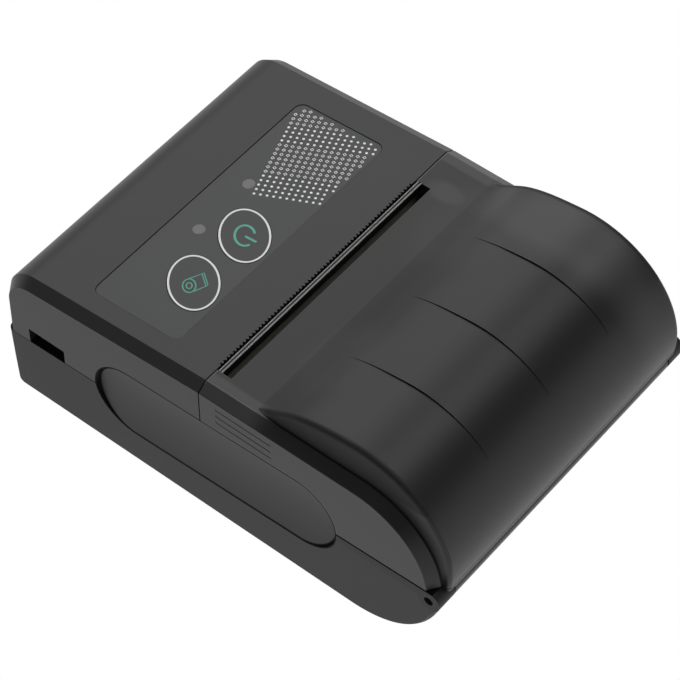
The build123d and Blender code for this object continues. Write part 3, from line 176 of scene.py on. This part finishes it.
tray, shader, place = finish("tray_black", (0.02, 0.02, 0.021), roughness=0.5, sheen=dull)
gap_shade = paint_gap_shade(place, shader, cloudy(place, low=(0.018, 0.018, 0.019), high=(0.023, 0.023, 0.024), size=0.02))
fine = grain(place, shader, size=0.00022, depth=0.35)
feed(shader, "Roughness", fine * 0.15 + 0.42 + gap_shade * 0.4)
dress(tray, "bottom_shell", "battery_door")

# Side grips.
# Oval inserts of softer grey plastic, pressed into the bottom shell on both
# sides, with a coarser grain than the shells so that fingers hold.
grip_rim_shade = (0.00838, 0.00850)
grip, shader, place = finish("grip_grey", (0.033, 0.033, 0.034), roughness=0.55, sheen=satin)
tone = cloudy(place, low=(0.029, 0.029, 0.030), high=(0.037, 0.037, 0.038), size=0.012)
# Painted shade: the rim of each grip is darkened to near black where it meets its opening.
rim_shade = fade(oval(place)[0], *grip_rim_shade)
feed(shader, "Base Color", blend(rim_shade, tone, (0.002, 0.002, 0.002)))
fine = grain(place, shader, size=0.0003, depth=0.4)
feed(shader, "Roughness", fine * 0.15 + 0.45 + rim_shade * 0.4)
dress(grip, "side_grip_left", "side_grip_right")

# Control film.
# A thin grey film glued into the recess of the hood, silk-screened with a field
# of white dots and little frames at its far end.
top_slope = 0.07
seam = Vector((-0.00335, 0, 0.0377))
lay = Matrix.Translation(seam) @ Matrix.Rotation(-math.atan(top_slope), 4, "Y")
film_top = Vector((0, 0, -0.00015))
ink_height = 0.00002
dot_radius, frame_radius, frame_stroke = 0.00029, 0.00042, 0.00012
mark_turn = Matrix.Rotation(math.radians(23.8), 4, "Z")
next_mark = Vector((0.00120, 0.00053, 0))
next_row = Vector((-0.00040, 0.00118, 0))
field_start = Vector((-0.0231, 0.0054, 0))
field_left, field_right, field_far = -0.0306, -0.0108, 0.0289
marks_in_row = 16
row_kinds = "fffffhhhhhhhffffhhhhh"

film, shader, place = finish("panel_film", (0.064, 0.065, 0.066), roughness=0.5, sheen=satin)
tone = cloudy(place, low=(0.060, 0.061, 0.062), high=(0.068, 0.069, 0.070), size=0.015)
feed(shader, "Base Color", tone)
grain(place, shader, size=0.0002, depth=0.12)
dress(film, "control_overlay")

ink, shader, place = finish("white_ink", (0.90, 0.90, 0.89), roughness=0.45)
feed(shader, "Base Color", cloudy(place, low=(0.86, 0.86, 0.85), high=(0.94, 0.94, 0.93), size=0.0006))
grain(place, shader, size=0.0001, depth=0.2)


def only(*pieces):
    """Select these pieces alone, the first of them active."""
    bpy.ops.object.select_all(action="DESELECT")
    for piece in pieces:
        piece.select_set(True)
    if pieces:
        bpy.context.view_layer.objects.active = pieces[0]


def settle(piece, material, body, matrix):
    """Put a piece in its place, with the place in its mesh, and let it ride."""
    only(piece)
    piece.matrix_world = matrix @ piece.matrix_world
    bpy.ops.object.transform_apply(location=True, rotation=True, scale=True)
    piece.data.materials.clear()
    piece.data.materials.append(material)
    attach(piece, body)


def thicken(piece, height):
    """Pull a flat piece up to its height."""
    only(piece)
    bpy.ops.object.mode_set(mode="EDIT")
    bpy.ops.mesh.select_all(action="SELECT")
    bpy.ops.mesh.extrude_region_move(TRANSFORM_OT_translate={"value": (0, 0, height)})
    bpy.ops.mesh.select_all(action="SELECT")
    bpy.ops.mesh.normals_make_consistent(inside=False)
    bpy.ops.object.mode_set(mode="OBJECT")


# A row is of filled dots for f, or of hollow frames for h.
for kind, name, corners, radius in (
    ("f", "printed_dots", 8, dot_radius),
    ("h", "printed_frames", 4, frame_radius),
):
    only()
    bpy.ops.mesh.primitive_circle_add(vertices=corners, radius=radius, fill_type="NGON")
    mark = bpy.context.object
    if kind == "h":
        bpy.ops.object.mode_set(mode="EDIT")
        bpy.ops.mesh.select_all(action="SELECT")
        bpy.ops.mesh.inset(thickness=frame_stroke)
        bpy.ops.mesh.delete(type="FACE")
        bpy.ops.object.mode_set(mode="OBJECT")
    thicken(mark, ink_height)
    copies = []
    for row, row_kind in enumerate(row_kinds):
        if row_kind != kind:
            continue
        for column in range(marks_in_row):
            spot = field_start + next_row * row + next_mark * column
            if field_left < spot.x < field_right and spot.y < field_far:
                copy = mark.copy()
                copy.data = mark.data.copy()
                bpy.context.collection.objects.link(copy)
                copy.matrix_world = Matrix.Translation(spot + film_top) @ mark_turn
                copies.append(copy)
    bpy.data.objects.remove(mark)
    only(*copies)
    bpy.ops.object.join()
    field = bpy.context.object
    field.name = name
    settle(field, ink, "housing", lay)

# Keys.
# Two oval keys moulded in the same grey, each with a white printed ring at its
# edge and a line symbol in green: a paper roll, and an open ring with a bar.
key_x = -0.0207
key_y = {"feed": -0.0189, "power": -0.0041}
key_top = -0.00007
key_turn = Matrix.Rotation(math.radians(-43), 4, "Z")
ring_half_length, ring_half_width, ring_stroke = 0.00687, 0.00479, 0.0004
ring_steps = 120
mark_stroke = 0.00021
mark_unit = 0.001
mark_right = (0.03655, 0.1863)
mark_up = (0.2567, -0.03087)

key_skin, shader, place = finish("key_grey", (0.053, 0.054, 0.055), roughness=0.48, sheen=satin)
tone = cloudy(place, low=(0.050, 0.051, 0.052), high=(0.057, 0.058, 0.059), size=0.01)
feed(shader, "Base Color", tone)
grain(place, shader, size=0.0002, depth=0.12)
dress(key_skin, "feed_key", "power_key")

green_ink, shader, place = finish("green_ink", (0.07, 0.42, 0.31), roughness=0.45)
feed(shader, "Base Color", cloudy(place, low=(0.065, 0.40, 0.29), high=(0.075, 0.44, 0.33), size=0.0008))
grain(place, shader, size=0.0001, depth=0.2)


def line_ends(points, width, closed):
    """Both sides of a line of this width, at each of its points."""
    points = [Vector(point) for point in points]
    last = len(points) - 1
    ends = []
    for index, here in enumerate(points):
        before = points[index - 1] if index or closed else here
        after = points[(index + 1) % len(points)] if index < last or closed else here
        run = (after - before).normalized()
        across = Vector((-run.y, run.x, 0)) * (width / 2)
        ends.append((here - across, here + across))
    return ends


def printed_line(name, points, width, closed, material, body, matrix):
    """A printed line: an edge pulled along its points, then given a thickness."""
    sides = line_ends(points, width, closed)
    only()
    bpy.ops.mesh.primitive_plane_add(size=width)
    line = bpy.context.object
    line.name = name
    mesh = line.data
    bpy.ops.object.mode_set(mode="EDIT")
    bpy.ops.mesh.select_all(action="SELECT")
    bpy.ops.mesh.delete(type="ONLY_FACE")
    bpy.ops.mesh.select_all(action="DESELECT")
    bpy.ops.object.mode_set(mode="OBJECT")
    near_first = sorted(mesh.vertices, key=lambda vertex: (vertex.co.y, vertex.co.x))
    for vertex, side in zip(near_first[:2], sides[0]):
        vertex.co = side
        vertex.select = True
    bpy.ops.object.mode_set(mode="EDIT")
    bpy.ops.mesh.select_all(action="INVERT")
    bpy.ops.mesh.delete(type="VERT")
    bpy.ops.mesh.select_all(action="SELECT")
    for before, after in zip(sides, sides[1:]):
        bpy.ops.mesh.extrude_region_move()
        bpy.ops.object.mode_set(mode="OBJECT")
        ends = [vertex for vertex in mesh.vertices if vertex.select]
        ends.sort(key=lambda vertex: (vertex.co - before[0]).length)
        for end, side in zip(ends, after):
            end.co = side
        bpy.ops.object.mode_set(mode="EDIT")
    if closed:
        bpy.ops.object.mode_set(mode="OBJECT")
        for vertex in mesh.vertices:
            vertex.select = vertex.index < 2 or vertex.index >= 2 * len(sides) - 2
        bpy.ops.object.mode_set(mode="EDIT")
        bpy.ops.mesh.select_mode(type="VERT")
        bpy.ops.mesh.edge_face_add()
    bpy.ops.object.mode_set(mode="OBJECT")
    thicken(line, ink_height)
    settle(line, material, body, matrix)


def slanted(marks):
    """Points drawn upright for the reader, slanted into the oval of a key."""
    return [
        (*(mark_unit * (mark_right[way] * a + mark_up[way] * b) for way in (0, 1)), 0)
        for a, b in marks
    ]


def round_marks(middle, radius, first, last, step):
    """Points on a circle, by their turns in degrees."""
    turns = [math.radians(turn) for turn in range(first, last, step)]
    return [(middle[0] + radius * math.cos(turn), middle[1] + radius * math.sin(turn)) for turn in turns]


roll_middle = (-4.5, 3.0)
drawings = {
    "feed": (
        ("roll", round_marks(roll_middle, 6.6, 0, 360, 12), 1.15, True),
        ("core", round_marks(roll_middle, 2.9, 0, 360, 20), 1.15, True),
        ("sheet", [(-5.5, -3.6), (8.0, -8.6), (12.2, 3.6), (-1.0, 8.9)], 1.15, False),
        ("fold", [(8.0, -8.6), (10.0, -9.6), (14.0, 2.0), (12.2, 3.6)], 1.0, False),
    ),
    "power": (
        ("arc", round_marks((0, 0), 10.2, 62, 356, 7), 2.3, False),
        ("bar", [(0.4, 0.8), (11.6, 6.6)], 2.3, False),
    ),
}
ring_turns = [step * math.tau / ring_steps for step in range(ring_steps)]
ring = [(ring_half_length * math.cos(turn), ring_half_width * math.sin(turn), 0) for turn in ring_turns]
for key, body in (("feed", "feed_button"), ("power", "power_button")):
    spot = lay @ Matrix.Translation((key_x - seam.x, key_y[key], key_top)) @ key_turn
    printed_line(key + "_ring", ring, ring_stroke, True, ink, body, spot)
    for name, marks, width, closed in drawings[key]:
        stroke = mark_stroke * width
        printed_line(key + "_mark_" + name, slanted(marks), stroke, closed, green_ink, body, spot)

# Lamp windows.
# Two round windows moulded in frosted clear plastic and set into the hood, with
# a small lamp of the same milky look on the key board under each.
window, shader, place = finish("frosted_window", (0.12, 0.12, 0.125), roughness=0.35)
grain(place, shader, size=0.00015, depth=0.2)
feed(shader, "Base Color", cloudy(place, low=(0.10, 0.10, 0.105), high=(0.14, 0.14, 0.145), size=0.001))
dress(window, "power_light", "link_light", "lamps")

# Paper cover.
# The hinged cover is moulded in smoky see-through plastic with a satin outside.
# The light that comes through it, past the dark bin and the roller, is painted into its colour as soft
# lighter patches.
shoulder_light_patches = (
    ((0.0035, 0.0272), (0.0052, 0.0030), 0.75),
    ((0.0130, 0.0200), (0.0120, 0.0130), 0.3),
    ((0.0140, -0.0190), (0.0080, 0.0120), 0.25),
)
drum_light_patch = ((0.0300, 0.0285), (0.0260, 0.0085))
smoke_dark, smoke_lit = (0.0125, 0.0125, 0.0135), (0.05, 0.05, 0.051)
wall_shade_black, flank_black, rim_highlight_grey = (0.006, 0.006, 0.006), (0.028, 0.028, 0.029), (0.11, 0.11, 0.112)

smoke, shader, place = finish("cover_smoke", (0.018, 0.018, 0.019), roughness=0.4, sheen=satin)
along, across, height = place.axis(0), place.axis(1), place.axis(2)
sideways = abs(across)


def light_patch(middle, reach):
    """A soft round patch of painted light on the see-through plastic, 1 in its middle."""
    east = (along - middle[0]) * (1 / reach[0])
    north = (across - middle[1]) * (1 / reach[1])
    return fade((east * east + north * north).maths("SQRT"), 1.15, 0.45)


# Painted light: lighter colour where light comes through the thin front of the shoulders and through the
# end of the drum.
drift = place.node("ShaderNodeTexNoise", Vector=place, Scale=55.0, Detail=2.0, Roughness=0.5)
painted_through_light = fade(sideways, 0.0330, 0.0340) * fade(along, 0.0125, 0.0075) * 0.9
painted_through_light = painted_through_light | light_patch(*drum_light_patch) * (drift * 0.9 + 0.45)
for middle, reach, strength in shoulder_light_patches:
    painted_through_light = painted_through_light | light_patch(middle, reach) * strength
tone = blend(painted_through_light, smoke_dark, smoke_lit)

# Painted shade makes the drum's end walls darker; the sides below them are a little lighter.
wall_shade = fade(sideways, 0.0338, 0.0345) * fade(height, 0.0380, 0.0386)
tone = blend(wall_shade, tone, wall_shade_black)
flank = fade(sideways, 0.03780, 0.03795)
tone = blend(flank, tone, flank_black)

# Painted highlights: bright rims at the front edge, along the shoulders and round the grip openings.
front_highlight = fade(along, -0.00285, -0.00300) * fade(height, 0.0371, 0.0375)
shoulder_highlight = stripe(sideways, 0.03545, 0.03555, 0.03575, 0.03585)
shoulder_highlight = shoulder_highlight * fade(along, 0.010, 0.007) * fade(height, 0.0373, 0.0376) * 0.6
opening_highlight = stripe(oval(place)[0], 0.00926, 0.00934, 0.00950, 0.00958) * flank * 0.5
tone = blend(front_highlight | shoulder_highlight | opening_highlight, tone, rim_highlight_grey)
# Painted shade in black in the gaps along the parting line and round the grip openings.
gap_shade = paint_gap_shade(place, shader, tone)
fine = grain(place, shader, size=0.00025, depth=0.22)
feed(shader, "Roughness", fine * 0.14 + 0.34 + wall_shade * 0.2 + gap_shade * 0.5)
dress(smoke, "paper_cover")

# Lip bar.
# A thin glossy bar across the paper opening, fixed to the cover. The crests of
# its two ridges carry painted highlights in light grey.
crest_start, crest_full = 0.03760, 0.03768
lip, shader, place = finish("lip_gloss", (0.03, 0.03, 0.032), roughness=0.25)
height = place.axis(2)
crest = height.node("ShaderNodeMapRange", i0=height, i1=crest_start, i2=crest_full, i3=0.0, i4=1.0)
highlight_break = place.node("ShaderNodeTexNoise", Vector=place, Scale=900.0, Detail=2.0)
# Painted highlight along the crests, broken up by noise.
crest_highlight = crest * (highlight_break * 0.8 + 0.45)
feed(shader, "Base Color", blend(crest_highlight, (0.012, 0.012, 0.013), (0.42, 0.42, 0.42)))
grain(place, shader, size=0.0003, depth=0.1)
dress(lip, "paper_lip")

# Paper bin and carrier.
# The curved bin that cradles the roll and the beam that carries the roller are
# moulded in plain black, like the switches and the chips on the boards.


def plain(name, colour, roughness, metal, *nodes):
    """One finish with a little drift in its shade, on each of these pieces."""
    made, shader, place = finish(name, colour, roughness, metal=metal)
    darker, lighter = [tuple(channel * share for channel in colour) for share in (0.9, 1.08)]
    feed(shader, "Base Color", cloudy(place, darker, lighter, size=0.004))
    fine = grain(place, shader, size=0.0002, depth=0.15)
    feed(shader, "Roughness", fine * 0.15 + (roughness - 0.07))
    dress(made, *nodes)


plain(
    "bin_black", (0.028, 0.028, 0.03), 0.5, 0.0,
    "paper_bin", "roller_carrier", "key_switches", "board_chips",
)

# Roller.
# A ground rubber sleeve on a steel shaft, which turns in two sintered bronze
# bushes. The battery's spring blades have the same colour as the bushes.
plain("roller_rubber", (0.02, 0.02, 0.021), 0.75, 0.0, "platen_rubber")
plain("bush_bronze", (0.5, 0.32, 0.14), 0.35, 1.0, "platen_bushes", "battery_contacts")

# Steel pieces.
# The pressed frame of the mechanism, the motor's can, and the turned shafts,
# posts, pins and screws, with the plated shell of the charging socket.
plain(
    "steel", (0.55, 0.55, 0.56), 0.3, 1.0,
    "platen_shaft", "mechanism_frame", "feed_motor", "motor_shaft", "gear_posts", "hinge_pin_left",
    "hinge_pin_right", "foot_screw_set", "frame_screws", "charging_socket",
)

# Gears.
# Four spur gears moulded in white acetal: the motor's pinion, the double gear,
# the idler, and the gear pressed onto the end of the roller's shaft.
plain(
    "gear_white", (0.68, 0.67, 0.62), 0.45, 0.0,
    "platen_gear", "idler_gear", "reduction_gear", "motor_pinion",
)

# Print head.
# A glazed ceramic plate glued to an aluminium sink, with a flat tan cable. The
# can over the radio is of the same dull metal as the sink.
plain("head_ceramic", (0.5, 0.46, 0.38), 0.25, 0.0, "thermal_head")
plain("sink_aluminium", (0.62, 0.63, 0.64), 0.4, 1.0, "head_heat_sink", "radio_module")
plain("cable_film", (0.45, 0.25, 0.08), 0.35, 0.0, "head_cable")

# Boards and battery.
# Two glass-fibre boards under green solder mask, and below them a flat battery
# in dark blue shrink film.
plain("board_green", (0.02, 0.12, 0.05), 0.35, 0.0, "main_board", "key_board")
plain("battery_film", (0.03, 0.07, 0.2), 0.3, 0.0, "battery_pack")

# Floor.
# A white sheet that the printer stands on. It shows pure white to the camera and
# in reflections, and takes and throws back light like paper.
floor_width = 8
floor_z = -0.0002
only()
bpy.ops.mesh.primitive_plane_add(size=floor_width, location=(0, 0, floor_z))
floor = bpy.context.object
floor.name = "floor"
paper, shader, place = finish("floor_white", (0.8, 0.8, 0.8), roughness=0.9)
tree = paper.node_tree
glow = tree.nodes.new("ShaderNodeEmission")
glow.inputs["Strength"].default_value = 1.0
rays = tree.nodes.new("ShaderNodeLightPath")
mix = tree.nodes.new("ShaderNodeMixShader")
camera_ray, glossy_ray, through_ray = [
    Sock(tree, rays.outputs[name]) for name in ("Is Camera Ray", "Is Glossy Ray", "Is Transmission Ray")
]
tree.links.new((camera_ray | glossy_ray | through_ray).link, mix.inputs[0])
tree.links.new(shader.outputs[0], mix.inputs[1])
tree.links.new(glow.outputs[0], mix.inputs[2])
tree.links.new(mix.outputs[0], tree.nodes["Material Output"].inputs[0])
floor.data.materials.append(paper)

# Light.
# A studio that is bright round the horizon and overhead, dark in between, with
# a large soft window at the left and a smaller soft lamp above.
sky_bands = ((0.0, 0.5), (0.50, 0.85), (0.60, 0.7), (0.67, 0.04), (0.80, 0.04), (0.92, 0.34))
sky_strength = 1.15
world = bpy.data.worlds.new("studio")
bpy.context.scene.world = world
world.use_nodes = True
sky = world.node_tree.nodes["Background"]
away = Sock(world.node_tree, world.node_tree.nodes.new("ShaderNodeTexCoord").outputs["Generated"])
tint = away.node("ShaderNodeValToRGB", i0=away.axis(2) * 0.5 + 0.5)
ramp = tint.link.node.color_ramp
while len(ramp.elements) < len(sky_bands):
    ramp.elements.new(0.5)
for stop, (position, grey) in zip(ramp.elements, sky_bands):
    stop.position, stop.color = position, (grey, grey, grey, 1)
feed(sky, 0, tint)
sky.inputs[1].default_value = sky_strength

for name, spot, size, power in (
    ("window_left", (-0.55, 0.5, 0.75), 0.8, 4.4),
    ("overhead", (0.25, 0.45, 1.0), 0.5, 2.3),
):
    lamp = bpy.data.lights.new(name, "AREA")
    lamp.size = size
    lamp.energy = power
    light = bpy.data.objects.new(name, lamp)
    bpy.context.collection.objects.link(light)
    light.location = spot
    light.rotation_euler = (-Vector(spot)).to_track_quat("-Z", "Y").to_euler()

# Camera.
# It stands where the photographer stood, in front of the near hinge corner and
# well above it, with a long lens.
azimuth, elevation, roll = math.radians(39.317), math.radians(51.400), math.radians(-0.488)
target = Vector((0.0155444, -0.0201796, 0.0488511))
distance = 0.536793
view_angle = math.radians(12.89417)
level = math.cos(elevation)
back = Vector((math.sin(azimuth) * level, -math.cos(azimuth) * level, math.sin(elevation)))
right = Vector((math.cos(azimuth), math.sin(azimuth), 0))
up = back.cross(right)
right, up = right * math.cos(roll) + up * math.sin(roll), up * math.cos(roll) - right * math.sin(roll)
lens = bpy.data.cameras.new("camera")
lens.sensor_width = 36
lens.lens = lens.sensor_width / 2 / math.tan(view_angle / 2)
lens.clip_start = 0.01
camera = bpy.data.objects.new("camera", lens)
bpy.context.collection.objects.link(camera)
facing = Matrix((right, up, back)).transposed().to_4x4()
camera.matrix_world = Matrix.Translation(target + back * distance) @ facing
bpy.context.scene.camera = camera
bpy.context.scene.view_settings.view_transform = "Standard"
